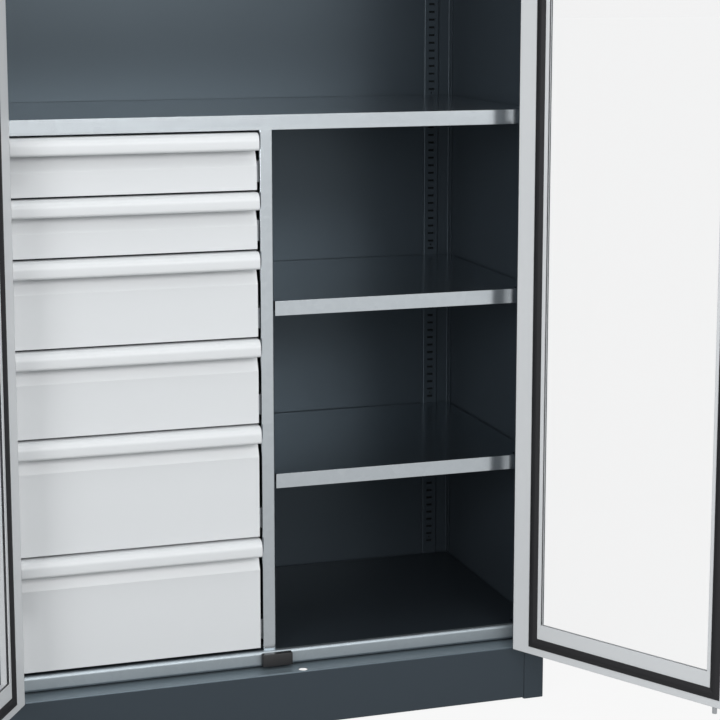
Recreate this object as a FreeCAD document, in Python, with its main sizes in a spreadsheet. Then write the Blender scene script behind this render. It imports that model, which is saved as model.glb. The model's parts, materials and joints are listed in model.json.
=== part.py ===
import FreeCAD, Part
import math
import os
import Sketcher
from types import SimpleNamespace

# Heavy-duty double-door cabinet with a stack of drawers and half shelves.
# +X is to the right, +Y to the back, +Z up; the origin is on the ground under the carcass centre.

doc = FreeCAD.newDocument("cabinet")
sheet = doc.addObject("Spreadsheet::Sheet", "dims")

# Driving dimensions in millimetres, and the door angle in degrees
driving = [
    # carcass
    ("width", 1000), ("depth", 500), ("height", 1950), ("plate", 1.5), ("bend", 1.5), ("fit", 0.5),
    ("post_width", 38), ("post_depth", 60), ("back_flange", 22), ("back_edge", 16),
    ("header", 60), ("header_return", 20), ("recess", 42),
    ("plinth_height", 100), ("plinth_lift", 2), ("plinth_return", 20), ("ledge", 62),
    ("floor_rise", 30), ("rail_reach", 10), ("rail_lift", 3), ("rail_bend", 4),
    # shelf supports and shelves
    ("strip_width", 30), ("strip_depth", 4), ("strip_inset", 40), ("strip_margin", 24),
    ("slot_width", 12), ("slot_height", 4), ("slot_pitch", 15), ("mark_radius", 1.8), ("mark_pitch", 300),
    ("shelf_lip", 25), ("shelf_plate", 1.2), ("shelf_gap", 2.5), ("notch_gap", 5),
    ("stack_shelf_top", 1059.7), ("top_shelf_top", 1480),
    ("upper_half_top", 743.6), ("lower_half_top", 442.4),
    ("clip_width", 16), ("clip_length", 18), ("clip_drop", 22), ("clip_plate", 2),
    ("clip_front_y", 150), ("clip_rear_y", 190),
    # divider and drawer stack
    ("divider_width", 23), ("stack_side", 69), ("stack_trim", 26), ("trim_return", 15),
    ("drawer_floor_gap", 4.3), ("drawer_gap", 3.5), ("front_side_gap", 3), ("front_divider_gap", 4.5),
    ("drawer_small", 100), ("drawer_medium", 150), ("drawer_large", 200),
    ("front_plate", 1.5), ("front_depth", 12.5), ("hood_height", 29), ("hood_reach", 18), ("hood_round", 14),
    ("lip_round", 5), ("grip_recess", 11), ("band_height", 27),
    ("drawer_depth", 400), ("drawer_plate", 1.2), ("drawer_lift", 6), ("drawer_top_gap", 20),
    ("slide_space", 13), ("slide_height", 36), ("slide_plate", 1.2), ("slide_rise", 30),
    ("slide_flange", 8), ("slide_gap", 0.3),
    # doors
    ("door_open", 120), ("door_depth", 20), ("door_plate", 1.2), ("door_side_gap", 1), ("door_meet_gap", 1.5),
    ("door_end_gap", 2.5), ("frame_side", 60), ("frame_end", 58), ("pane_thick", 4), ("pane_lap", 10),
    ("pane_gap", 0.2), ("seal_side", 35), ("seal_end", 13.5), ("seal_width", 18), ("seal_height", 1),
    ("seal_rise", 2.5), ("seal_crest", 4),
    ("lap_strip_width", 32), ("lap_strip_reach", 12), ("lap_strip_end", 48), ("lap_strip_gap", 0.3),
    # hinges
    ("hinge_inset", 4.5), ("hinge_reach", 6), ("hinge_height", 80), ("hinge_end", 150), ("knuckle_radius", 5),
    ("pin_radius", 3), ("pin_gap", 0.1), ("leaf_width", 27), ("leaf_plate", 2), ("leaf_gap", 0.4),
    ("knuckle_gap", 0.3),
    # lock
    ("handle_height", 1000), ("handle_x", 30), ("escutcheon_width", 34), ("escutcheon_height", 130),
    ("escutcheon_plate", 4), ("spindle_radius", 5.5), ("spindle_gap", 0.3),
    ("hub_radius", 13), ("hub_length", 16),
    ("lever_length", 112), ("lever_width", 18), ("lever_plate", 9), ("cam_radius", 14), ("cam_plate", 5),
    ("rod_x", 51), ("rod_radius", 4), ("rod_gap", 0.5), ("rod_throw", 14), ("rod_room", 22),
    ("rod_hole_radius", 6), ("ledge_hole_radius", 8),
    # stop block and floor anchors
    ("stop_x", 9), ("stop_lift", 6), ("stop_width", 53), ("stop_height", 22), ("stop_chamfer", 1),
    ("anchor_x", 70), ("anchor_y", 50), ("anchor_radius", 5.5), ("anchor_reach", 30), ("anchor_plate", 3),
]
for row, (alias, number) in enumerate(driving, 1):
    sheet.set("A%d" % row, alias)
    sheet.set("B%d" % row, str(number))
    sheet.setAlias("B%d" % row, alias)
doc.recompute()


class Size:
    # a length together with the sheet formula that gives it
    def __init__(self, number, formula):
        self.number = number
        self.formula = formula

    def __add__(self, other):
        return joined(self, "+", other)

    def __radd__(self, other):
        return joined(other, "+", self)

    def __sub__(self, other):
        return joined(self, "-", other)

    def __rsub__(self, other):
        return joined(other, "-", self)

    def __mul__(self, other):
        return joined(self, "*", other)

    def __rmul__(self, other):
        return joined(other, "*", self)

    def __truediv__(self, other):
        return joined(self, "/", other)

    def __neg__(self):
        return joined(0, "-", self)


def sized(value):
    return value if isinstance(value, Size) else Size(float(value), repr(float(value)))


def joined(left, sign, right):
    a, b = sized(left), sized(right)
    if sign == "+":
        number = a.number + b.number
    elif sign == "-":
        number = a.number - b.number
    elif sign == "*":
        number = a.number * b.number
    else:
        number = a.number / b.number
    return Size(number, "(%s %s %s)" % (a.formula, sign, b.formula))


d = SimpleNamespace(**{alias: Size(float(sheet.get(alias)), "dims." + alias) for alias, number in driving})


# Building blocks: sketches, pads, pockets and folded sheet outlines
def bind(target, path, value):
    target.setExpression(path, sized(value).formula)


def new_body(label):
    body = doc.addObject("PartDesign::Body", label)
    body.Label = label
    return body


def arc_between(start, end, radius):
    # radius is positive for an arc that turns left on its way, and the arc is under a half circle
    chord = end - start
    middle = (start + end) * 0.5
    left = FreeCAD.Vector(-chord.y, chord.x, 0).normalize()
    rise = math.sqrt(max(radius * radius - chord.Length ** 2 / 4, 0))
    centre = middle + left * (rise if radius > 0 else -rise)
    first, last = (start, end) if radius > 0 else (end, start)
    angles = [math.atan2(p.y - centre.y, p.x - centre.x) for p in (first, last)]
    circle = Part.Circle(centre, FreeCAD.Vector(0, 0, 1), abs(radius))
    return Part.ArcOfCircle(circle, angles[0], angles[1])


def add_outline(sketch, points):
    # each point is (x, y), or (x, y, radius) where an arc leaves it
    base = sketch.GeometryCount
    spots = [FreeCAD.Vector(sized(p[0]).number, sized(p[1]).number, 0) for p in points]
    starts = []
    for here, point in enumerate(points):
        start, end = spots[here], spots[(here + 1) % len(points)]
        if len(point) == 3:
            radius = sized(point[2]).number
            sketch.addGeometry(arc_between(start, end, radius))
            starts.append(1 if radius > 0 else 2)
        else:
            sketch.addGeometry(Part.LineSegment(start, end))
            starts.append(1)
    for here, point in enumerate(points):
        after = (here + 1) % len(points)
        edge = base + here
        finish = 2 if starts[here] == 1 else 1
        sketch.addConstraint(Sketcher.Constraint("Coincident", edge, finish, base + after, starts[after]))
        spot = spots[here]
        for kind, value, spot in (("DistanceX", point[0], spot.x), ("DistanceY", point[1], spot.y)):
            index = sketch.addConstraint(Sketcher.Constraint(kind, -1, 1, edge, starts[here], spot))
            bind(sketch, "Constraints[%d]" % index, value)
        if len(point) == 3:
            radius = sized(point[2])
            size = radius if radius.number > 0 else -radius
            index = sketch.addConstraint(Sketcher.Constraint("Radius", edge, size.number))
            bind(sketch, "Constraints[%d]" % index, size)


def add_circle(sketch, x, y, radius):
    x, y, radius = sized(x), sized(y), sized(radius)
    centre = FreeCAD.Vector(x.number, y.number, 0)
    edge = sketch.addGeometry(Part.Circle(centre, FreeCAD.Vector(0, 0, 1), radius.number))
    for kind, value in (("DistanceX", x), ("DistanceY", y)):
        index = sketch.addConstraint(Sketcher.Constraint(kind, -1, 1, edge, 3, value.number))
        bind(sketch, "Constraints[%d]" % index, value)
    index = sketch.addConstraint(Sketcher.Constraint("Radius", edge, radius.number))
    bind(sketch, "Constraints[%d]" % index, radius)


def draw(body, plane, level, outlines, circles=()):
    # level is the sketch's X, Y or Z; the XZ plane looks along +Y, so its own depth runs the other way
    role = plane + "_Plane"
    origin = next(item for item in body.Origin.OriginFeatures if item.Role == role)
    sketch = body.newObject("Sketcher::SketchObject", "sketch")
    sketch.AttachmentSupport = [(origin, "")]
    sketch.MapMode = "FlatFace"
    bind(sketch, "AttachmentOffset.Base.z", -level if plane == "XZ" else level)
    for outline in outlines:
        add_outline(sketch, outline)
    for circle in circles:
        add_circle(sketch, *circle)
    return sketch


def pad(body, plane, low, high, outlines, circles=()):
    sketch = draw(body, plane, high if plane == "XZ" else low, outlines, circles)
    feature = body.newObject("PartDesign::Pad", "pad")
    feature.Profile = sketch
    bind(feature, "Length", high - low)
    return feature


def pocket(body, plane, low, high, outlines, circles=()):
    sketch = draw(body, plane, low if plane == "XZ" else high, outlines, circles)
    feature = body.newObject("PartDesign::Pocket", "pocket")
    feature.Profile = sketch
    bind(feature, "Length", high - low)
    return feature


def rectangle(x0, y0, x1, y1):
    return [(x0, y0), (x1, y0), (x1, y1), (x0, y1)]


def folded(path, plate, bend):
    # outline of a folded sheet: the path is its outer face, square corners, with the sheet on the left
    steps = []
    for (x0, y0), (x1, y1) in zip(path, path[1:]):
        dx = sized(x1).number - sized(x0).number
        dy = sized(y1).number - sized(y0).number
        steps.append(((dx > 1e-6) - (dx < -1e-6), (dy > 1e-6) - (dy < -1e-6)))
    there, back = [], []
    for here, (x, y) in enumerate(path):
        if here in (0, len(steps)):
            step = steps[0] if here == 0 else steps[-1]
            there.append((x, y))
            back.append((x - step[1] * plate, y + step[0] * plate))
            continue
        before, after = steps[here - 1], steps[here]
        turn = before[0] * after[1] - before[1] * after[0]
        inner_x = x - (before[1] + after[1]) * plate
        inner_y = y + (before[0] + after[0]) * plate
        outer_bend, inner_bend = (bend + plate, bend) if turn > 0 else (bend, bend + plate)
        there.append((x - before[0] * outer_bend, y - before[1] * outer_bend, turn * outer_bend))
        there.append((x + after[0] * outer_bend, y + after[1] * outer_bend))
        back.append((inner_x - before[0] * inner_bend, inner_y - before[1] * inner_bend))
        back.append((inner_x + after[0] * inner_bend, inner_y + after[1] * inner_bend, -turn * inner_bend))
    return there + back[::-1]


def box(x0, x1, y0, y1, z0, z1):
    solid = doc.addObject("Part::Box", "box")
    for path, value in (("Length", x1 - x0), ("Width", y1 - y0), ("Height", z1 - z0)):
        bind(solid, path, value)
    for path, value in (("x", x0), ("y", y0), ("z", z0)):
        bind(solid, "Placement.Base." + path, value)
    return solid


def rod(x, y, z0, z1, radius):
    solid = doc.addObject("Part::Cylinder", "rod")
    bind(solid, "Radius", radius)
    bind(solid, "Height", z1 - z0)
    for path, value in (("x", x), ("y", y), ("z", z0)):
        bind(solid, "Placement.Base." + path, value)
    return solid


def fused(shapes):
    whole = doc.addObject("Part::MultiFuse", "fused")
    whole.Shapes = shapes
    return whole


def without(base, tool):
    whole = doc.addObject("Part::Cut", "cut")
    whole.Base = base
    whole.Tool = tool
    return whole


def group(label, solids):
    whole = doc.addObject("Part::Compound", label)
    whole.Label = label
    whole.Links = solids
    return whole


def mirrored(label, source):
    twin = doc.addObject("Part::Mirroring", label)
    twin.Label = label
    twin.Source = source
    twin.Base = FreeCAD.Vector(0, 0, 0)
    twin.Normal = FreeCAD.Vector(1, 0, 0)
    return twin


nodes = []


def keep(node):
    nodes.append(node)
    return node


# Main planes of the carcass
half = d.width / 2
front = -d.depth / 2
back = d.depth / 2
inner = half - d.post_width
wall = half - d.plate
face = front + d.recess
back_face = back - 2 * d.plate
roof = d.height - d.plate
post_back = front + d.post_depth
floor_top = d.plinth_height + d.floor_rise
strip_x = wall - d.strip_inset
strip_face = back_face - d.strip_depth
shelf_rear = strip_face - d.fit
divider_half = d.divider_width / 2
stack_x = half - d.stack_side


# Side panels: one sheet folded into a closed front post, the side and a rear flange
def side_panel(label):
    body = new_body(label)
    path = [
        (wall, post_back), (inner, post_back), (inner, front),
        (half, front), (half, back), (half - d.back_flange, back),
    ]
    pad(body, "XY", sized(0), roof, [folded(path, d.plate, d.bend)])
    return body


right_side = keep(side_panel("right_side_panel"))
keep(mirrored("left_side_panel", right_side))


# Back panel: a shallow pan whose edges lie against the sides
def back_panel(label):
    body = new_body(label)
    edge = wall - d.fit
    rear = back - d.plate
    path = [(edge, rear - d.back_edge), (edge, rear), (-edge, rear), (-edge, rear - d.back_edge)]
    pad(body, "XY", sized(0), roof, [folded(path, d.plate, d.bend)])
    return body


keep(back_panel("back_panel"))


# Top panel: the roof sheet, with a header folded down between the posts
def top_panel(label):
    body = new_body(label)
    under = d.height - d.header
    path = [(back, d.height), (front, d.height), (front, under), (front + d.header_return, under)]
    pad(body, "YZ", -half, half, [folded(path, d.plate, d.bend)])
    clear = inner - d.fit
    low, high = under - d.plate, roof
    ends = [rectangle(side * clear, low, side * (half + d.plate), high) for side in (1, -1)]
    pocket(body, "XZ", front - d.plate, front + d.header_return + d.plate, ends)
    pocket(body, "XY", under - d.plate, under + 2 * d.plate, [], [(d.rod_x, rod_y, d.rod_hole_radius)])
    return body


# The lock rods run in the middle of the closed door's thickness
rod_y = front + d.door_depth / 2
keep(top_panel("top_panel"))


# Plinth: folded front plate with the ledge that the doors close above
def plinth(label):
    body = new_body(label)
    path = [
        (front + d.ledge, d.plinth_height), (front, d.plinth_height),
        (front, d.plinth_lift), (front + d.plinth_return, d.plinth_lift),
    ]
    clear = inner - d.fit
    pad(body, "YZ", -clear, clear, [folded(path, d.plate, d.bend)])
    low, high = d.plinth_height - 2 * d.plate, d.plinth_height + d.plate
    pocket(body, "XY", low, high, [], [(d.rod_x, rod_y, d.ledge_hole_radius)])
    return body


keep(plinth("plinth"))


# Shelves and floor: pans folded down on all edges, with corners notched around the posts
def pan(label, left, right, left_lip, right_lip, front_y, top, drop, plate):
    body = new_body(label)
    notch = post_back + d.shelf_gap

    def rim(inset):
        near, far = front_y + inset, shelf_rear - inset
        turn = notch + inset
        points = [(left_lip + inset, near), (right_lip - inset, near)]
        if right.number > right_lip.number:
            points += [(right_lip - inset, turn), (right - inset, turn)]
        points += [(right - inset, far), (left + inset, far)]
        if left.number < left_lip.number:
            points += [(left + inset, turn), (left_lip + inset, turn)]
        return points

    pad(body, "XY", top - drop, top, [rim(sized(0))])
    hollow = draw(body, "XY", top - drop, [rim(plate)])
    feature = body.newObject("PartDesign::Pocket", "hollow")
    feature.Profile = hollow
    feature.Reversed = True
    bind(feature, "Length", drop - plate)
    return body


lip_end = inner - d.notch_gap
shelf_end = wall - d.shelf_gap
half_end = divider_half + d.shelf_gap
for label, top in (("stack_shelf", d.stack_shelf_top), ("top_shelf", d.top_shelf_top)):
    keep(pan(label, -shelf_end, shelf_end, -lip_end, lip_end, face, top, d.shelf_lip, d.shelf_plate))
for label, top in (("upper_half_shelf", d.upper_half_top), ("lower_half_shelf", d.lower_half_top)):
    keep(pan(label, half_end, shelf_end, half_end, lip_end, face, top, d.shelf_lip, d.shelf_plate))
keep(pan("floor_panel", -shelf_end, shelf_end, -lip_end, lip_end, face, floor_top, d.floor_rise, d.plate))


# Floor rail: the rounded trim in front of the floor
def floor_rail(label):
    body = new_body(label)
    near = face - d.rail_reach
    low = d.plinth_height + d.rail_lift
    path = [(face, floor_top), (near, floor_top), (near, low), (face, low)]
    pad(body, "YZ", -lip_end, lip_end, [folded(path, d.plate, d.rail_bend)])
    return body


keep(floor_rail("floor_rail"))


# Divider: a deep folded channel that closes the drawer stack's side
def divider(label):
    body = new_body(label)
    path = [(-divider_half, back_face), (-divider_half, face), (divider_half, face), (divider_half, back_face)]
    pad(body, "XY", floor_top, d.stack_shelf_top - d.shelf_lip, [folded(path, d.plate, d.bend)])
    return body


keep(divider("centre_divider"))


# Stack side: the channel that carries the left slides, with a trim to the post
def stack_side(label):
    body = new_body(label)
    edge = -stack_x
    trim = edge - d.stack_trim
    path = [(trim, face + d.trim_return), (trim, face), (edge, face), (edge, back_face)]
    pad(body, "XY", floor_top, d.stack_shelf_top - d.shelf_lip, [folded(path, d.plate, d.bend)])
    return body


keep(stack_side("drawer_side_panel"))


# Slotted strips at the rear corners, which the shelf clips hang in, with a row of small marking holes
def row_of(body, cut, run, pitch):
    steps = Size(math.floor(run.number / pitch.number), "floor(%s / %s)" % (run.formula, pitch.formula))
    row = body.newObject("PartDesign::LinearPattern", "row")
    row.Originals = [cut]
    row.Direction = (cut.Profile[0], ["V_Axis"])
    bind(row, "Length", steps * pitch)
    bind(row, "Occurrences", steps + 1)
    body.Tip = row


def slotted_strip(label):
    body = new_body(label)
    left, right = strip_x - d.strip_width / 2, strip_x + d.strip_width / 2
    path = [(left, back_face), (left, strip_face), (right, strip_face), (right, back_face)]
    pad(body, "XY", floor_top, roof, [folded(path, d.plate, d.bend / 2)])
    low = floor_top + d.strip_margin
    slot = rectangle(
        strip_x - d.slot_width / 2, low, strip_x + d.slot_width / 2, low + d.slot_height
    )
    run = roof - floor_top - 2 * d.strip_margin - d.slot_height
    near, far = strip_face - d.plate, strip_face + 1.5 * d.plate
    row_of(body, pocket(body, "XZ", near, far, [slot]), run, d.slot_pitch)
    mark = (strip_x, low + (d.slot_height + d.slot_pitch) / 2, d.mark_radius)
    row_of(body, pocket(body, "XZ", near, far, [], [mark]), run, d.mark_pitch)
    return body


right_strip = keep(slotted_strip("right_slotted_strip"))
keep(mirrored("left_slotted_strip", right_strip))


# Shelf clips: small angles under each shelf's rim, on the strips, the posts and the divider
def clip_along_y(x, wall_y, outward, top):
    x0, x1 = x - d.clip_width / 2, x + d.clip_width / 2
    leg_end = wall_y + outward * d.clip_plate
    foot_end = wall_y + outward * d.clip_length
    low, high = (wall_y, leg_end) if outward > 0 else (leg_end, wall_y)
    leg = box(x0, x1, low, high, top - d.clip_drop, top)
    low, high = (wall_y, foot_end) if outward > 0 else (foot_end, wall_y)
    foot = box(x0, x1, low, high, top - d.clip_plate, top)
    return fused([leg, foot])


def clip_on_divider(y, top):
    y0, y1 = y - d.clip_width / 2, y + d.clip_width / 2
    leg = box(divider_half, divider_half + d.clip_plate, y0, y1, top - d.clip_drop, top)
    foot = box(divider_half, divider_half + d.clip_length, y0, y1, top - d.clip_plate, top)
    return fused([leg, foot])


clips = []
post_x = half - d.post_width / 2
for shelf_top, sides in (
    (d.stack_shelf_top, (1, -1)), (d.top_shelf_top, (1, -1)),
    (d.upper_half_top, (1,)), (d.lower_half_top, (1,)),
):
    rim_level = shelf_top - d.shelf_lip
    for side in sides:
        clips.append(clip_along_y(side * strip_x, strip_face, -1, rim_level))
        clips.append(clip_along_y(side * post_x, post_back, 1, rim_level))
    if len(sides) == 1:
        clips.append(clip_on_divider(-d.clip_front_y, rim_level))
        clips.append(clip_on_divider(d.clip_rear_y, rim_level))
keep(group("shelf_clips", clips))


# Slides: three channels nested in each other, at both sides of each drawer
slide_front = face + d.front_depth
slide_back = slide_front + d.drawer_depth


def channel(label, base_x, side, start, end, half_height, level):
    # a channel whose web is at start and whose flanges reach to end, counted from the wall at base_x
    body = new_body(label)
    near, far = base_x + side * start, base_x + side * end
    path = [(far, half_height), (near, half_height), (near, -half_height), (far, -half_height)]
    if far.number < near.number:
        path = path[::-1]
    pad(body, "XZ", slide_front, slide_back, [folded(path, d.slide_plate, d.slide_gap)])
    bind(body, "Placement.Base.z", level)
    return body


fixed_half = d.slide_height / 2
middle_half = fixed_half - d.slide_plate - d.slide_gap
inner_half = middle_half - d.slide_plate - d.slide_gap
middle_web = d.slide_plate + d.slide_gap
inner_flange = middle_web + d.slide_plate + d.slide_gap
stack_walls = ((-stack_x, 1), (-divider_half, -1))
stack_left = -stack_x + d.front_side_gap
stack_right = -divider_half - d.front_divider_gap


# Drawer front: one profile with the rolled handle hood, the grip recess and the sloped band
def drawer_front(label, tall, level):
    body = new_body(label)
    plate = d.front_plate
    lip = face - d.hood_reach
    lip_low = tall - d.hood_height
    crown = face - d.hood_reach + d.hood_round
    band_low = lip_low - d.band_height
    rear = face + d.front_depth
    profile = [
        (rear, sized(0)), (rear, plate), (face + plate, plate), (face + plate, band_low - plate / 2),
        (rear, lip_low - plate / 2), (rear, tall), (crown, tall, d.hood_round),
        (lip, tall - d.hood_round), (lip, lip_low + d.lip_round, d.lip_round),
        (lip + d.lip_round, lip_low), (lip + d.lip_round, lip_low + plate, plate - d.lip_round),
        (lip + plate, lip_low + d.lip_round),
        (lip + plate, tall - d.hood_round, plate - d.hood_round), (crown, tall - plate),
        (face + d.grip_recess, tall - plate), (face + d.grip_recess, lip_low),
        (face, band_low), (face, sized(0)),
    ]
    pad(body, "YZ", stack_left, stack_right, [profile])
    bind(body, "Placement.Base.z", level)
    return body


# Drawer box: a floor and four walls between the slides, with the slides' inner channels on its sides
def drawer_box(label, tall, level):
    left = -stack_x + d.slide_space
    right = -divider_half - d.slide_space
    plate = d.drawer_plate
    low, high = level + d.drawer_lift, level + tall - d.drawer_top_gap
    deck = low + plate
    pieces = [
        box(left, right, slide_front, slide_back, low, deck),
        box(left, left + plate, slide_front, slide_back, deck, high),
        box(right - plate, right, slide_front, slide_back, deck, high),
        box(left + plate, right - plate, slide_front, slide_front + plate, deck, high),
        box(left + plate, right - plate, slide_back - plate, slide_back, deck, high),
    ]
    for base_x, side in stack_walls:
        name = label + "_inner_slide"
        middle = level + d.slide_rise
        pieces.append(channel(name, base_x, side, d.slide_space, inner_flange, inner_half, middle))
    return group(label, pieces)


pitches = [d.drawer_large] * 2 + [d.drawer_medium] * 2 + [d.drawer_small] * 2
level = floor_top + d.drawer_floor_gap
fixed_slides = []
for count, pitch in enumerate(pitches):
    name = "drawer_%d" % (len(pitches) - count)
    tall = pitch - d.drawer_gap
    keep(drawer_front(name + "_front", tall, level))
    keep(drawer_box(name + "_box", tall, level))
    middles = []
    for base_x, side in stack_walls:
        middle = level + d.slide_rise
        rail = channel(name + "_rail", base_x, side, sized(0), d.slide_flange, fixed_half, middle)
        fixed_slides.append(rail)
        reach = middle_web + d.slide_flange
        middles.append(channel(name + "_middle", base_x, side, middle_web, reach, middle_half, middle))
    keep(group(name + "_middle_slides", middles))
    level = level + pitch
keep(group("drawer_rails", fixed_slides))


# Doors: drawn closed about their hinge axis, then turned open
hinge_x = inner - d.hinge_inset
hinge_y = front - d.hinge_reach
door_low = d.plinth_height + d.door_end_gap
door_high = d.height - d.header - d.door_end_gap
outer_y = d.hinge_reach
inner_y = d.hinge_reach + d.door_depth
edge_x = d.hinge_inset - d.door_side_gap
meet_x = d.door_meet_gap - hinge_x


def hang(piece, side):
    bind(piece, "Placement.Base.x", side * hinge_x)
    bind(piece, "Placement.Base.y", hinge_y)
    piece.setExpression("Placement.Rotation.Angle", "%d deg * dims.door_open" % side)


def door_rectangle(side, side_inset, end_inset):
    low_x, high_x = side * (meet_x + side_inset), side * (edge_x - side_inset)
    return rectangle(low_x, door_low + end_inset, high_x, door_high - end_inset)


def door_skin(label, side):
    body = new_body(label)
    plate = d.door_plate
    rear = inner_y - plate
    window = door_rectangle(side, d.frame_side, d.frame_end)
    pad(body, "XZ", outer_y, rear, [door_rectangle(side, sized(0), sized(0))])
    ring = [
        door_rectangle(side, plate, plate),
        door_rectangle(side, d.frame_side - plate, d.frame_end - plate),
    ]
    hollow = draw(body, "XZ", rear, ring)
    feature = body.newObject("PartDesign::Pocket", "hollow")
    feature.Profile = hollow
    feature.Reversed = True
    bind(feature, "Length", rear - outer_y - plate)
    pocket(body, "XZ", outer_y, rear, [window])
    lap = door_rectangle(side, d.frame_side - d.pane_lap - d.fit, d.frame_end - d.pane_lap - d.fit)
    pocket(body, "XZ", rear - d.pane_thick - 2 * d.pane_gap, rear, [lap])
    if side > 0:
        spindle = (d.handle_x - hinge_x, d.handle_height, d.spindle_radius + d.spindle_gap)
        pocket(body, "XZ", outer_y, outer_y + 2 * plate, [], [spindle])
        bore = (d.rod_x - hinge_x, rod_y - hinge_y, d.rod_radius + d.rod_gap)
        pocket(body, "XY", door_low, door_low + 2 * plate, [], [bore])
        pocket(body, "XY", door_high - 2 * plate, door_high, [], [bore])
    hang(body, side)
    return body


def ring_on_door(label, side, low, high, side_inset, end_inset, side_width, end_width):
    body = new_body(label)
    outlines = [
        door_rectangle(side, side_inset, end_inset),
        door_rectangle(side, side_inset + side_width, end_inset + end_width),
    ]
    pad(body, "XZ", low, high, outlines)
    hang(body, side)
    return body


def door_seal(label, side):
    # a flat foot with a crest that narrows from it, mitred in the corners
    body = new_body(label)
    foot = inner_y + d.seal_height
    rim = door_rectangle(side, d.seal_side, d.seal_end)
    hole = door_rectangle(side, d.seal_side + d.seal_width, d.seal_end + d.seal_width)
    pad(body, "XZ", inner_y, foot, [rim, hole])
    slope = "atan((dims.seal_width - dims.seal_crest) / 2 / dims.seal_rise)"
    for kind, outline, sign in (("Pad", rim, "-"), ("Pocket", hole, "")):
        crest = body.newObject("PartDesign::" + kind, "crest")
        crest.Profile = draw(body, "XZ", foot, [outline])
        crest.Reversed = kind == "Pad"
        bind(crest, "Length", d.seal_rise)
        crest.setExpression("TaperAngle", sign + slope)
    hang(body, side)
    return body


def door_pane(label, side):
    body = new_body(label)
    rear = inner_y - d.door_plate - d.pane_gap
    outline = door_rectangle(side, d.frame_side - d.pane_lap, d.frame_end - d.pane_lap)
    pad(body, "XZ", rear - d.pane_thick, rear, [outline])
    hang(body, side)
    return body


# Hinges: a fixed leaf with its pin on the post, a lifting leaf on the door
hinge_span = door_high - door_low - d.hinge_height
hinge_levels = [
    door_low + d.hinge_end, door_low + hinge_span / 2, door_high - d.hinge_end - d.hinge_height,
]


def fixed_leaf(side, level):
    middle = level + d.hinge_height / 2
    leaf_y = front - d.leaf_gap
    x0, x1 = (hinge_x, hinge_x + d.leaf_width) if side > 0 else (-hinge_x - d.leaf_width, -hinge_x)
    leaf = box(x0, x1, leaf_y - d.leaf_plate, leaf_y, level, middle)
    knuckle = rod(side * hinge_x, hinge_y, level, middle, d.knuckle_radius)
    pin = rod(side * hinge_x, hinge_y, level, level + d.hinge_height - d.leaf_plate, d.pin_radius)
    return fused([leaf, knuckle, pin])


def lifting_leaf(side, level):
    low, high = level + d.hinge_height / 2 + d.knuckle_gap, level + d.hinge_height
    x0, x1 = (-d.leaf_width, sized(0)) if side > 0 else (sized(0), d.leaf_width)
    leaf = box(x0, x1, outer_y - d.leaf_plate, outer_y, low, high)
    knuckle = rod(sized(0), sized(0), low, high, d.knuckle_radius)
    bore = rod(sized(0), sized(0), low, high, d.pin_radius + d.pin_gap)
    return without(fused([leaf, knuckle]), bore)


posts = []
for side, word in ((1, "right"), (-1, "left")):
    keep(door_skin(word + "_door_skin", side))
    plate_low = inner_y - d.door_plate
    keep(ring_on_door(
        word + "_door_inner_frame", side, plate_low, inner_y, sized(0), sized(0), d.frame_side, d.frame_end
    ))
    keep(door_seal(word + "_door_seal", side))
    keep(door_pane(word + "_door_pane", side))
    leaves = group(word + "_hinge_leaves", [lifting_leaf(side, level) for level in hinge_levels])
    hang(leaves, side)
    keep(leaves)
    posts += [fixed_leaf(side, level) for level in hinge_levels]
keep(group("hinge_pins", posts))


# Lap strip on the left door, behind the edge of the right door
def lap_strip(label):
    body = new_body(label)
    low_y = inner_y + d.lap_strip_gap
    near = hinge_x + d.lap_strip_reach
    outline = rectangle(
        near - d.lap_strip_width, door_low + d.lap_strip_end, near, door_high - d.lap_strip_end
    )
    pad(body, "XZ", low_y, low_y + d.door_plate, [outline])
    hang(body, -1)
    return body


keep(lap_strip("left_door_lap_strip"))


# Lock on the right door: escutcheon, lever with its spindle, cam and two rods.
# It is drawn locked: the lever hangs and the rods stand out
lock_x = d.handle_x - hinge_x


def escutcheon(label):
    body = new_body(label)
    half_width, half_height = d.escutcheon_width / 2, d.escutcheon_height / 2
    straight = half_height - half_width
    low, high = d.handle_height - straight, d.handle_height + straight
    outline = [
        (lock_x + half_width, low), (lock_x + half_width, high, half_width),
        (lock_x, d.handle_height + half_height, half_width), (lock_x - half_width, high),
        (lock_x - half_width, low, half_width), (lock_x, d.handle_height - half_height, half_width),
    ]
    hole = (lock_x, d.handle_height, d.spindle_radius + d.spindle_gap)
    pad(body, "XZ", outer_y - d.escutcheon_plate, outer_y, [outline], [hole])
    hang(body, 1)
    return body


def lever(label):
    body = new_body(label)
    near = outer_y - d.escutcheon_plate - d.slide_gap
    far = near - d.hub_length
    pad(body, "XZ", far, near, [], [(lock_x, d.handle_height, d.hub_radius)])
    half_width = d.lever_width / 2
    tip = d.handle_height - d.lever_length
    grip = [
        (lock_x - half_width, d.handle_height), (lock_x - half_width, tip + half_width, half_width),
        (lock_x, tip, half_width), (lock_x + half_width, tip + half_width),
        (lock_x + half_width, d.handle_height),
    ]
    pad(body, "XZ", far, far + d.lever_plate, [grip])
    cam_near = outer_y + d.door_plate + d.slide_gap
    pad(body, "XZ", near, cam_near + d.cam_plate, [], [(lock_x, d.handle_height, d.spindle_radius)])
    hang(body, 1)
    return body


def cam(label):
    body = new_body(label)
    near = outer_y + d.door_plate + d.slide_gap
    outline = [(lock_x, d.handle_height, d.cam_radius), (lock_x, d.handle_height, d.spindle_radius)]
    pad(body, "XZ", near, near + d.cam_plate, [], outline)
    hang(body, 1)
    return body


def lock_rod(label, low, high):
    body = new_body(label)
    pad(body, "XY", low, high, [], [(d.rod_x - hinge_x, rod_y - hinge_y, d.rod_radius)])
    hang(body, 1)
    return body


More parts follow.
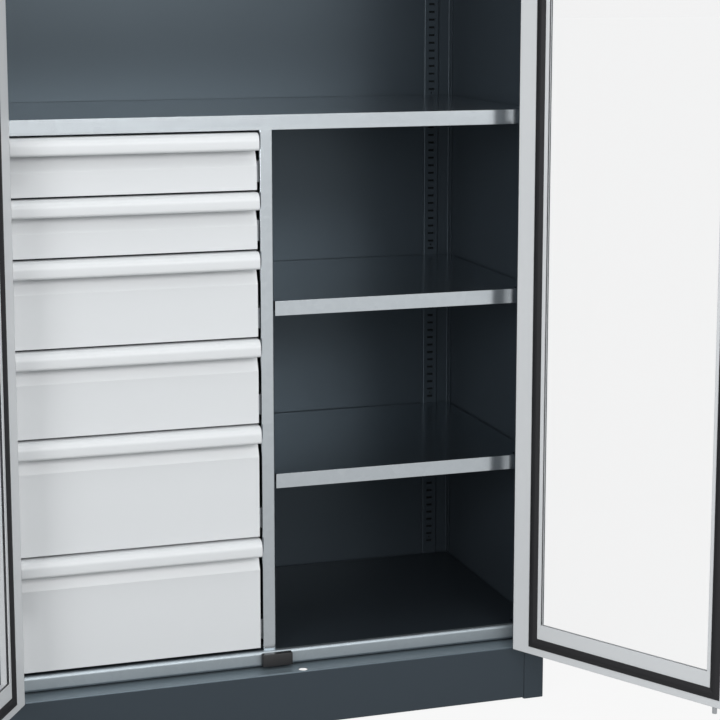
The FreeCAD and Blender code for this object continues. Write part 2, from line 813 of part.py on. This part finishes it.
keep(escutcheon("lock_escutcheon"))
keep(lever("lock_lever"))
keep(cam("lock_cam"))
rod_end = d.rod_room + d.rod_throw
keep(lock_rod("upper_lock_rod", d.handle_height + rod_end, door_high + d.rod_throw))
keep(lock_rod("lower_lock_rod", door_low - d.rod_throw, d.handle_height - rod_end))


# Stop block on the rail, where the two doors meet
def stop_block(label):
    body = new_body(label)
    left, right = d.stop_x - d.stop_width / 2, d.stop_x + d.stop_width / 2
    low = d.plinth_height + d.stop_lift
    high = low + d.stop_height
    outline = [
        (left, low), (right, low), (right, high - d.stop_chamfer),
        (right - d.stop_chamfer, high), (left + d.stop_chamfer, high), (left, high - d.stop_chamfer),
    ]
    pad(body, "XZ", front + d.door_depth + d.fit, face - d.rail_reach, [outline])
    return body


keep(stop_block("door_stop_block"))


# Anchor plates in the corners of the base, drilled for floor bolts
def anchor_plate(side_x, side_y):
    hole_x, hole_y = half - d.anchor_x, back - d.anchor_y
    near_x = side_x * (hole_x - d.anchor_reach)
    far_x = side_x * ((inner if side_y < 0 else wall - 2 * d.plate) - d.fit)
    far_y = front + d.plinth_return + d.fit if side_y < 0 else back_face - d.fit
    near_y = side_y * (hole_y - d.anchor_reach)
    x0, x1 = (near_x, far_x) if side_x > 0 else (far_x, near_x)
    y0, y1 = (near_y, far_y) if side_y > 0 else (far_y, near_y)
    plate = box(x0, x1, y0, y1, sized(0), d.anchor_plate)
    hole = rod(side_x * hole_x, side_y * hole_y, sized(0), d.anchor_plate, d.anchor_radius)
    return without(plate, hole)


corners = [(1, 1), (1, -1), (-1, 1), (-1, -1)]
keep(group("anchor_plates", [anchor_plate(side_x, side_y) for side_x, side_y in corners]))

# Every object has to be sound before anything is written
doc.recompute()
for item in doc.Objects:
    if "Invalid" in item.State or "Error" in item.State:
        raise RuntimeError("%s (%s) failed: %s" % (item.Label, item.Name, item.State))
for node in nodes:
    if node.Shape.isNull() or not node.Shape.isValid() or not node.Shape.Solids:
        raise RuntimeError("%s has no sound shape" % node.Label)

os.makedirs("parts", exist_ok=True)
for node in nodes:
    node.Shape.exportStep(os.path.join("parts", node.Label + ".step"))
    limits = node.Shape.BoundBox
    print("%-24s solids %2d volume %.0f z %.1f to %.1f" % (
        node.Label, len(node.Shape.Solids), node.Shape.Volume, limits.ZMin, limits.ZMax
    ))
print("%d nodes" % len(nodes))
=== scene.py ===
import json
import math

import bmesh
import bpy
from mathutils import Matrix, Vector


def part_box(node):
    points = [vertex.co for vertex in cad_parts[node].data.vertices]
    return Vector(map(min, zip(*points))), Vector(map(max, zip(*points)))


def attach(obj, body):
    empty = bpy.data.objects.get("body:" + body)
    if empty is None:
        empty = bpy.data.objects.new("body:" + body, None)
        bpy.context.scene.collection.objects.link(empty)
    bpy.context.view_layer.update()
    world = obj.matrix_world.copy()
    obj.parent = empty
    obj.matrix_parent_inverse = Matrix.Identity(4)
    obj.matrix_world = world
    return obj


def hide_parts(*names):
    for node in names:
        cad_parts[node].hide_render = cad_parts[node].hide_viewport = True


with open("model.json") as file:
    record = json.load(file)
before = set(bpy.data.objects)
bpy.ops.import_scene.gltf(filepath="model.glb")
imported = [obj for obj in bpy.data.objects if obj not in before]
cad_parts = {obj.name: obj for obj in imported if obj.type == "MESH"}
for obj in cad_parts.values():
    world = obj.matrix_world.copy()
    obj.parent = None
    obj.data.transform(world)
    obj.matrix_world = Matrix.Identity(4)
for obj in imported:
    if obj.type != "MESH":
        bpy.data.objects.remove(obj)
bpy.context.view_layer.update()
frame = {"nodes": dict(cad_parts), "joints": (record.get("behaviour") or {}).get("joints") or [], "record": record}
nodes = frame["nodes"]
hinges = {joint["name"]: joint for joint in frame["joints"]}
print("frame loaded:", len(nodes), "nodes")

# Lengths are in metres, angles in degrees
noiseLow, noiseHigh = 0.3, 0.7  # most of a noise lies between these
edgeSamples = 4  # of the shader's softened edges


# Node helpers: a material starts from its shader, on Object coordinates
def startMaterial(name):
    material = bpy.data.materials.new(name)
    material.use_nodes = True
    tree = material.node_tree
    shader = tree.nodes["Principled BSDF"]
    coords = tree.nodes.new("ShaderNodeTexCoord")
    return material, tree, shader, coords.outputs["Object"]


def addNoise(tree, coords, scale, detail, stretch=(1, 1, 1)):
    mapping = tree.nodes.new("ShaderNodeMapping")
    mapping.inputs["Scale"].default_value = stretch
    noise = tree.nodes.new("ShaderNodeTexNoise")
    noise.inputs["Scale"].default_value = scale
    noise.inputs["Detail"].default_value = detail
    tree.links.new(coords, mapping.inputs["Vector"])
    tree.links.new(mapping.outputs["Vector"], noise.inputs["Vector"])
    return noise.outputs["Fac"]


def addMath(tree, operation, first, second=None):
    step = tree.nodes.new("ShaderNodeMath")
    step.operation = operation
    tree.links.new(first, step.inputs[0])
    if second is not None:
        tree.links.new(second, step.inputs[1])
    return step


def mixColours(tree, factor, first, second):
    mix = tree.nodes.new("ShaderNodeMix")
    mix.data_type = "RGBA"
    mix.inputs["A"].default_value = (*first, 1)
    mix.inputs["B"].default_value = (*second, 1)
    tree.links.new(factor, mix.inputs["Factor"])
    return mix.outputs["Result"]


def mapTo(tree, value, low, high, fromLow=noiseLow, fromHigh=noiseHigh):
    ranged = tree.nodes.new("ShaderNodeMapRange")
    ranged.inputs["From Min"].default_value = fromLow
    ranged.inputs["From Max"].default_value = fromHigh
    ranged.inputs["To Min"].default_value = low
    ranged.inputs["To Max"].default_value = high
    tree.links.new(value, ranged.inputs["Value"])
    return ranged.outputs["Result"]


# softened edges under the fine bumps of the surface
def roundedNormal(tree, shader, look, height):
    bevel = tree.nodes.new("ShaderNodeBevel")
    bevel.samples = edgeSamples
    bevel.inputs["Radius"].default_value = look["edge"]
    bump = tree.nodes.new("ShaderNodeBump")
    bump.inputs["Strength"].default_value = look["bump"]
    bump.inputs["Distance"].default_value = look["bumpDepth"]
    tree.links.new(height, bump.inputs["Height"])
    tree.links.new(bevel.outputs["Normal"], bump.inputs["Normal"])
    tree.links.new(bump.outputs["Normal"], shader.inputs["Normal"])


def scaled(colour, factor):
    return [channel * factor for channel in colour]


# Powder coat: even colour with a faint drift, fine orange peel, soft gloss
anthraciteLook = dict(
    colour=(0.027, 0.0345, 0.0425), sheen=(0.72, 0.88, 1.0),
    driftScale=5, driftDetail=3, drift=0.03, roughness=0.3, glossSwing=0.02,
    peelScale=700, peelDetail=2, bump=0.05, bumpDepth=0.0002, edge=0.0006,
)
lightGreyLook = dict(
    colour=(0.60, 0.612, 0.624), sheen=(1, 1, 1),
    driftScale=4, driftDetail=3, drift=0.012, roughness=0.36, glossSwing=0.02,
    peelScale=800, peelDetail=2, bump=0.05, bumpDepth=0.0002, edge=0.0014,
)
stripLook = dict(anthraciteLook, edge=0.00015)
# floor panel: a darker, duller copy of the anthracite coat, painted shade for the little light that reaches the
# floor of the compartments
floorPanelShadedLook = dict(anthraciteLook, colour=(0.015, 0.019, 0.0235), sheen=(0.45, 0.55, 0.64))


def powderCoat(name, look):
    material, tree, shader, coords = startMaterial(name)
    drift = addNoise(tree, coords, look["driftScale"], look["driftDetail"])
    darker = scaled(look["colour"], 1 - look["drift"])
    lighter = scaled(look["colour"], 1 + look["drift"])
    tree.links.new(mixColours(tree, drift, darker, lighter), shader.inputs["Base Color"])
    roughness, swing = look["roughness"], look["glossSwing"]
    gloss = mapTo(tree, drift, roughness - swing, roughness + swing, 0, 1)
    tree.links.new(gloss, shader.inputs["Roughness"])
    shader.inputs["Specular Tint"].default_value = (*look["sheen"], 1)
    peel = addNoise(tree, coords, look["peelScale"], look["peelDetail"])
    roundedNormal(tree, shader, look, peel)
    return material


# places of one coat that differ, found by Object coordinates: the base colour changes where the mask is 1
def recolourWhere(tree, mask, colour):
    base = tree.nodes["Principled BSDF"].inputs["Base Color"]
    mix = tree.nodes.new("ShaderNodeMix")
    mix.data_type = "RGBA"
    mix.inputs["B"].default_value = (*colour, 1)
    tree.links.new(base.links[0].from_socket, mix.inputs["A"])
    tree.links.new(mask, mix.inputs["Factor"])
    tree.links.new(mix.outputs["Result"], base)


def placeAlong(tree, axis):
    coords = tree.nodes.new("ShaderNodeTexCoord")
    parts = tree.nodes.new("ShaderNodeSeparateXYZ")
    tree.links.new(coords.outputs["Object"], parts.inputs[0])
    return parts.outputs[axis]


# painted shade behind each slotted strip: the back panel is painted matt and near black there, where the gap would
# lie in shade, so that the slots read as dark;
# the mask goes by X alone, so the outside of the back has the same two bands
paintedShadeLook = dict(colour=(0.002, 0.002, 0.002), margin=0.002)


def paintShadeBehindStrip(material, lowX, highX):
    tree = material.node_tree
    away = addMath(tree, "ABSOLUTE", placeAlong(tree, "X"))
    paintedShade = addMath(tree, "COMPARE", away.outputs[0])
    paintedShade.inputs[1].default_value = (lowX + highX) / 2
    paintedShade.inputs[2].default_value = (highX - lowX) / 2
    recolourWhere(tree, paintedShade.outputs[0], paintedShadeLook["colour"])
    roughness = tree.nodes["Principled BSDF"].inputs["Roughness"]
    matt = addMath(tree, "MAXIMUM", roughness.links[0].from_socket, paintedShade.outputs[0])
    tree.links.new(matt.outputs[0], roughness)


# the ledge of the plinth: paler than its front, from the bend upwards; the pale tone is partly a sheet grey of its
# own and partly painted sheen, standing for the reflections on its top face
ledgeToneAndSheenLook = dict(colour=(0.115, 0.143, 0.162), bendStart=0.0024, bendEnd=0.0004)


def paintLedgeToneAndSheen(material, top):
    tree = material.node_tree
    low, high = top - ledgeToneAndSheenLook["bendStart"], top - ledgeToneAndSheenLook["bendEnd"]
    mask = mapTo(tree, placeAlong(tree, "Z"), 0, 1, low, high)
    recolourWhere(tree, mask, ledgeToneAndSheenLook["colour"])


# Zinc-coated sheet: bright, with faint crystals and a rolled grain along X
zincLook = dict(
    colour=(0.555, 0.60, 0.635), crystalScale=90, drift=0.05, roughness=0.19, glossSwing=0.015,
    grainScale=120, grainDetail=3, rolled=(0.04, 1, 1), bump=0.03, bumpDepth=0.0001, edge=0.0003,
)
# floor rail: a rougher zinc, darkened as painted shade for the dark floor that it reflects
railShadedLook = dict(zincLook, colour=(0.345, 0.39, 0.42), roughness=0.5)
slideLook = dict(
    zincLook, colour=(0.52, 0.54, 0.56), crystalScale=200, drift=0.08, roughness=0.32,
    grainScale=200, bump=0.05, edge=0.0004,
)


def zincSheet(name, look):
    material, tree, shader, coords = startMaterial(name)
    shader.inputs["Metallic"].default_value = 1.0
    crystals = tree.nodes.new("ShaderNodeTexVoronoi")
    crystals.inputs["Scale"].default_value = look["crystalScale"]
    tree.links.new(coords, crystals.inputs["Vector"])
    tone = mapTo(tree, crystals.outputs["Color"], 0, 1, 0, 1)
    darker = scaled(look["colour"], 1 - look["drift"])
    tree.links.new(mixColours(tree, tone, darker, look["colour"]), shader.inputs["Base Color"])
    grain = addNoise(tree, coords, look["grainScale"], look["grainDetail"], look["rolled"])
    roughness, swing = look["roughness"], look["glossSwing"]
    gloss = mapTo(tree, grain, roughness - swing, roughness + swing)
    tree.links.new(gloss, shader.inputs["Roughness"])
    roundedNormal(tree, shader, look, grain)
    return material


# Rubber and moulded plastic: dark, with fine grain and a dusty drift
plasticLook = dict(
    colour=(0.012, 0.012, 0.013), shine=0.4, driftScale=35, driftDetail=4, drift=0.25,
    roughness=0.45, glossier=0.06, duller=0.08,
    grainScale=900, grainDetail=2, bump=0.12, bumpDepth=0.0002, edge=0.0012,
)
rubberLook = dict(
    plasticLook, colour=(0.012, 0.012, 0.0135), shine=0.25, drift=0.35, roughness=0.6,
    grainScale=1200, bump=0.1, edge=0.0008,
)


def darkMoulding(name, look):
    material, tree, shader, coords = startMaterial(name)
    shader.inputs["Specular IOR Level"].default_value = look["shine"]
    drift = addNoise(tree, coords, look["driftScale"], look["driftDetail"])
    lighter = scaled(look["colour"], 1 + look["drift"])
    tree.links.new(mixColours(tree, drift, look["colour"], lighter), shader.inputs["Base Color"])
    roughness = look["roughness"]
    gloss = mapTo(tree, drift, roughness - look["glossier"], roughness + look["duller"])
    tree.links.new(gloss, shader.inputs["Roughness"])
    grain = addNoise(tree, coords, look["grainScale"], look["grainDetail"])
    roundedNormal(tree, shader, look, grain)
    return material


# Clear pane: thin acrylic with a trace of haze
paneLook = dict(
    colour=(0.45, 0.46, 0.47), bending=1.49, cover=0.045,
    hazeScale=6, hazeDetail=2, clearest=0.02, haziest=0.06,
)


def clearPane(name, look):
    material, tree, shader, coords = startMaterial(name)
    shader.inputs["Base Color"].default_value = (*look["colour"], 1)
    shader.inputs["IOR"].default_value = look["bending"]
    shader.inputs["Alpha"].default_value = look["cover"]
    haze = addNoise(tree, coords, look["hazeScale"], look["hazeDetail"])
    tree.links.new(mapTo(tree, haze, look["clearest"], look["haziest"]), shader.inputs["Roughness"])
    return material


# one finish for each material slot of the record
finishes = {
    "anthracite_paint": powderCoat("anthracitePaint", anthraciteLook),
    "light_grey_paint": powderCoat("lightGreyPaint", lightGreyLook),
    "galvanised_steel": zincSheet("zincSheet", zincLook),
    "slide_steel": zincSheet("slideZinc", slideLook),
    "black_plastic": darkMoulding("blackPlastic", plasticLook),
    "black_rubber": darkMoulding("blackRubber", rubberLook),
    "clear_plastic": clearPane("clearPane", paneLook),
}
slotOf = {part["node"]: part["material_slot"] for part in frame["record"]["subparts"]}
for name, node in nodes.items():
    node.data.materials.clear()
    node.data.materials.append(finishes[slotOf[name]])

# nodes whose finish differs a little from the rest of their slot; on the back panel, the floor panel and the floor
# rail it is painted shade, on the plinth's ledge partly painted sheen
stripPaint = powderCoat("stripPaint", stripLook)
stripLow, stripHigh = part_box("right_slotted_strip")
# the back panel's coat, with painted shade behind the slotted strips
backPaint = powderCoat("backPaint", anthraciteLook)
paintShadeBehindStrip(backPaint, stripLow[0] + paintedShadeLook["margin"], stripHigh[0] - paintedShadeLook["margin"])
# the plinth's coat, with a paler ledge that is partly painted sheen
plinthPaint = powderCoat("plinthPaint", anthraciteLook)
paintLedgeToneAndSheen(plinthPaint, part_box("plinth")[1][2])
ownFinishes = {
    "right_slotted_strip": stripPaint,
    "left_slotted_strip": stripPaint,
    "back_panel": backPaint,
    "plinth": plinthPaint,
    "floor_panel": powderCoat("floorPaintShaded", floorPanelShadedLook),
    "floor_rail": zincSheet("railZincShaded", railShadedLook),
}
for name, finish in ownFinishes.items():
    nodes[name].data.materials[0] = finish
print("materials made for", len(finishes), "slots, and nodes with their own:", len(ownFinishes))

# Pieces worked up from the frame: each starts as a merged copy of its node
copyLook = dict(weld=0.00002, flatUnder=0.5, sharpOver=40)
bodyOf = {}
for body, members in frame["record"]["behaviour"]["bodies"].items():
    for member in members:
        bodyOf[member] = body


def mergedCopy(nodeName):
    shape = bmesh.new()
    shape.from_mesh(nodes[nodeName].data)
    bmesh.ops.remove_doubles(shape, verts=shape.verts, dist=copyLook["weld"])
    flat = math.radians(copyLook["flatUnder"])
    bmesh.ops.dissolve_limit(
        shape, angle_limit=flat, verts=shape.verts, edges=shape.edges, delimit={"NORMAL"},
    )
    return shape


# rounds the sharp outward edges, or only the chosen ones of them
def softenEdges(shape, look, chosen=None):
    limit = math.radians(copyLook["sharpOver"])
    edges = [edge for edge in shape.edges if edge.is_manifold and edge.calc_face_angle_signed() > limit]
    if chosen is not None:
        edges = [edge for edge in edges if chosen(edge)]
    bmesh.ops.bevel(
        shape, geom=edges, offset=look["rounding"], offset_type="OFFSET", segments=look["segments"],
        profile=0.5, affect="EDGES", clamp_overlap=True, material=-1,
    )
    return len(edges)


def standFor(name, shape, nodeName, smoothUnder=35):
    mesh = bpy.data.meshes.new(name)
    bmesh.ops.triangulate(shape, faces=[face for face in shape.faces if len(face.verts) > 4])
    for face in shape.faces:
        face.smooth = True
    for edge in shape.edges:
        edge.smooth = edge.calc_face_angle(0) < math.radians(smoothUnder)
    shape.to_mesh(mesh)
    shape.free()
    # the frame's stored normals don't fit the new shape
    if "custom_normal" in mesh.attributes:
        mesh.attributes.remove(mesh.attributes["custom_normal"])
    piece = bpy.data.objects.new(name, mesh)
    bpy.context.scene.collection.objects.link(piece)
    mesh.materials.append(finishes[slotOf[nodeName]])
    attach(piece, bodyOf[nodeName])
    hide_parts(nodeName)


# turns an open door shut, with its hinge axis at the origin: side is 1 for the right door, -1 for the left
def closedTurn(side):
    hinge = hinges["right_door_hinge" if side > 0 else "left_door_hinge"]
    axis = Vector(hinge["pos_m"])
    axis.z = 0
    shut = hinge["range_deg"][0]
    return Matrix.Rotation(math.radians(shut * side), 4, "Z") @ Matrix.Translation(-axis)


# Door skins: the window's reveal flares outwards from the pane
doorSkinLook = dict(
    plate=0.0012, slack=0.0002, outerFace=0.006, frameSide=0.060, frameEnd=0.058,
    hingeFlare=0.010, flare=0.006,
)


def makeDoorSkin(side, word):
    look = doorSkinLook
    nodeName = word + "_door_skin"
    shape = mergedCopy(nodeName)
    turn = closedTurn(side)
    shape.transform(turn)
    acrossX = [vert.co.x for vert in shape.verts]
    upZ = [vert.co.z for vert in shape.verts]
    reach = look["plate"] + look["slack"]
    lowX, highX = min(acrossX) + look["frameSide"] - reach, max(acrossX) - look["frameSide"] + reach
    lowZ, highZ = min(upZ) + look["frameEnd"] - reach, max(upZ) - look["frameEnd"] + reach
    moved = 0
    for vert in shape.verts:
        inFront = vert.co.y < look["outerFace"] + reach
        if inFront and lowX < vert.co.x < highX and lowZ < vert.co.z < highZ:
            outward = 1 if vert.co.x > (lowX + highX) / 2 else -1
            vert.co.x += outward * (look["hingeFlare"] if outward == side else look["flare"])
            vert.co.z += look["flare"] if vert.co.z > (lowZ + highZ) / 2 else -look["flare"]
            moved += 1
    shape.transform(turn.inverted())
    standFor(word + "DoorShell", shape, nodeName)
    return moved


flared = [makeDoorSkin(1, "right"), makeDoorSkin(-1, "left")]
print("door skins flared, corners moved:", flared)

# Drawer fronts: sheet edges eased where they were cut
drawerFrontLook = dict(count=6, rounding=0.0004, segments=2, smoothUnder=16)


def makeDrawerFront(number):
    nodeName = "drawer_%d_front" % number
    shape = mergedCopy(nodeName)
    edges = softenEdges(shape, drawerFrontLook)
    standFor("drawer%dFace" % number, shape, nodeName, drawerFrontLook["smoothUnder"])
    return edges


eased = [makeDrawerFront(number) for number in range(1, drawerFrontLook["count"] + 1)]
print("drawer fronts eased, edges:", eased)

# Lever of the lock on the right door: a moulded grip that narrows a little towards its end
leverLook = dict(rounding=0.0028, segments=4, face=-0.0143, faceMargin=0.0005, hub=0.026, waist=0.24)


def makeLever():
    look = leverLook
    shape = mergedCopy("lock_lever")
    turn = closedTurn(1)
    shape.transform(turn)
    acrossX = [vert.co.x for vert in shape.verts]
    upZ = [vert.co.z for vert in shape.verts]
    middle = (min(acrossX) + max(acrossX)) / 2
    gripTop, gripEnd = max(upZ) - look["hub"], min(upZ)
    inFront = look["face"] + look["faceMargin"]
    edges = softenEdges(shape, look, lambda edge: all(vert.co.y < inFront for vert in edge.verts))
    for vert in shape.verts:
        down = (gripTop - vert.co.z) / (gripTop - gripEnd)
        if down > 0:
            vert.co.x = middle + (vert.co.x - middle) * (1 - look["waist"] * down)
    shape.transform(turn.inverted())
    standFor("lockLeverGrip", shape, "lock_lever")
    return edges


# Plate behind the lever: rounded, apart from edges longer than longest
plateLook = dict(rounding=0.0016, segments=3, longest=0.2)


def makeLockPlate():
    shape = mergedCopy("lock_escutcheon")
    edges = softenEdges(shape, plateLook, lambda edge: edge.calc_length() < plateLook["longest"])
    standFor("lockPlate", shape, "lock_escutcheon")
    return edges


# Stop block on the floor rail
blockLook = dict(rounding=0.0012, segments=3)


def makeStopBlock():
    shape = mergedCopy("door_stop_block")
    edges = softenEdges(shape, blockLook)
    standFor("stopBlock", shape, "door_stop_block")
    return edges


rounded = [makeLever(), makeLockPlate(), makeStopBlock()]
print("lever, lock plate and stop block rounded, edges:", rounded)


# 1 where the background shows: to the camera, through glass and in reflections,
# which have a brightness of their own where it is given
def whereSeen(tree, reflected=None):
    path = tree.nodes.new("ShaderNodeLightPath")
    seen = path.outputs["Is Glossy Ray"]
    if reflected is not None:
        seen = addMath(tree, "MULTIPLY", seen, reflected).outputs[0]
    for name in ("Is Camera Ray", "Is Transmission Ray"):
        seen = addMath(tree, "MAXIMUM", path.outputs[name], seen).outputs[0]
    return seen


# Floor of the studio: white where it shows, with the cabinet's shadow on it
studioFloorLook = dict(
    size=60, colour=(0.45, 0.45, 0.45), roughness=0.9, shine=0.1, white=0.9,
    shadowedNearGloss=0.6, farGloss=0.9, nearReach=0.3, farReach=4.0,
)


def makeFloor():
    look = studioFloorLook
    shape = bmesh.new()
    bmesh.ops.create_grid(shape, x_segments=1, y_segments=1, size=look["size"])
    mesh = bpy.data.meshes.new("floor")
    shape.to_mesh(mesh)
    shape.free()
    floor = bpy.data.objects.new("floor", mesh)
    bpy.context.scene.collection.objects.link(floor)
    material, tree, shader, coords = startMaterial("floorWhite")
    shader.inputs["Base Color"].default_value = (*look["colour"], 1)
    shader.inputs["Roughness"].default_value = look["roughness"]
    shader.inputs["Specular IOR Level"].default_value = look["shine"]
    # in reflections the floor is painted darker near the cabinet, a painted shadow, and pales away from it
    reach = tree.nodes.new("ShaderNodeVectorMath")
    reach.operation = "LENGTH"
    tree.links.new(coords, reach.inputs[0])
    gloss = mapTo(
        tree, reach.outputs["Value"], look["shadowedNearGloss"], look["farGloss"],
        look["nearReach"], look["farReach"],
    )
    white = tree.nodes.new("ShaderNodeEmission")
    tree.links.new(whereSeen(tree, gloss), white.inputs["Strength"])
    share = addMath(tree, "MULTIPLY", whereSeen(tree))
    share.inputs[1].default_value = look["white"]
    mix = tree.nodes.new("ShaderNodeMixShader")
    tree.links.new(share.outputs[0], mix.inputs["Fac"])
    tree.links.new(shader.outputs[0], mix.inputs[1])
    tree.links.new(white.outputs[0], mix.inputs[2])
    tree.links.new(mix.outputs[0], tree.nodes["Material Output"].inputs["Surface"])
    mesh.materials.append(material)


# World: a soft light on the cabinet, and as white as the far floor where it shows
worldLook = dict(light=0.6, tint=(0.93, 0.98, 1.0), white=(0.926, 0.926, 0.927))


def makeWorld():
    world = bpy.data.worlds.new("studio")
    bpy.context.scene.world = world
    world.use_nodes = True
    tree = world.node_tree
    tree.nodes.clear()
    ambient = tree.nodes.new("ShaderNodeBackground")
    ambient.inputs["Color"].default_value = (*worldLook["tint"], 1)
    ambient.inputs["Strength"].default_value = worldLook["light"]
    white = tree.nodes.new("ShaderNodeBackground")
    white.inputs["Color"].default_value = (*worldLook["white"], 1)
    mix = tree.nodes.new("ShaderNodeMixShader")
    output = tree.nodes.new("ShaderNodeOutputWorld")
    tree.links.new(whereSeen(tree), mix.inputs["Fac"])
    tree.links.new(ambient.outputs[0], mix.inputs[1])
    tree.links.new(white.outputs[0], mix.inputs[2])
    tree.links.new(mix.outputs[0], output.inputs["Surface"])


# Lamps: round and soft, power in watts
lampLooks = {
    "keyLamp": dict(place=(0.5, -4.0, 2.12), target=(0, 0, 0.8), size=1.9, power=55),
    "fillLamp": dict(place=(-2.5, -2.9, 1.6), target=(0.3, -0.2, 0.9), size=2.0, power=58),
    "sideLamp": dict(place=(2.3, -3.6, 1.6), target=(0.3, 0.2, 1.0), size=1.6, power=5),
    "topLamp": dict(place=(0.1, -1.5, 3.7), target=(0, -0.2, 0.6), size=2.0, power=28),
}


def addLamp(name, look):
    data = bpy.data.lights.new(name, "AREA")
    data.shape = "DISK"
    data.size = look["size"]
    data.energy = look["power"]
    lamp = bpy.data.objects.new(name, data)
    bpy.context.scene.collection.objects.link(lamp)
    lamp.location = look["place"]
    aim = Vector(look["target"]) - Vector(look["place"])
    lamp.rotation_euler = aim.to_track_quat("-Z", "Y").to_euler()


# Camera: in front and to the left, turned to the right and tilted down; sensor and lens in millimetres
cameraLook = dict(
    place=(-0.8325, -3.2928, 1.2802), turn=17.922, tilt=8.699, sensor=36, lens=95.557, shift=-0.12,
)


def makeCamera():
    look = cameraLook
    data = bpy.data.cameras.new("camera")
    data.sensor_fit = "HORIZONTAL"
    data.sensor_width = look["sensor"]
    data.lens = look["lens"]
    data.shift_y = look["shift"]
    camera = bpy.data.objects.new("camera", data)
    bpy.context.scene.collection.objects.link(camera)
    camera.location = look["place"]
    camera.rotation_euler = (math.radians(90 - look["tilt"]), 0, -math.radians(look["turn"]))
    bpy.context.scene.camera = camera


makeFloor()
makeWorld()
for name, look in lampLooks.items():
    addLamp(name, look)
makeCamera()
bpy.context.scene.view_settings.view_transform = "Standard"
print("stage, lamps and camera placed")
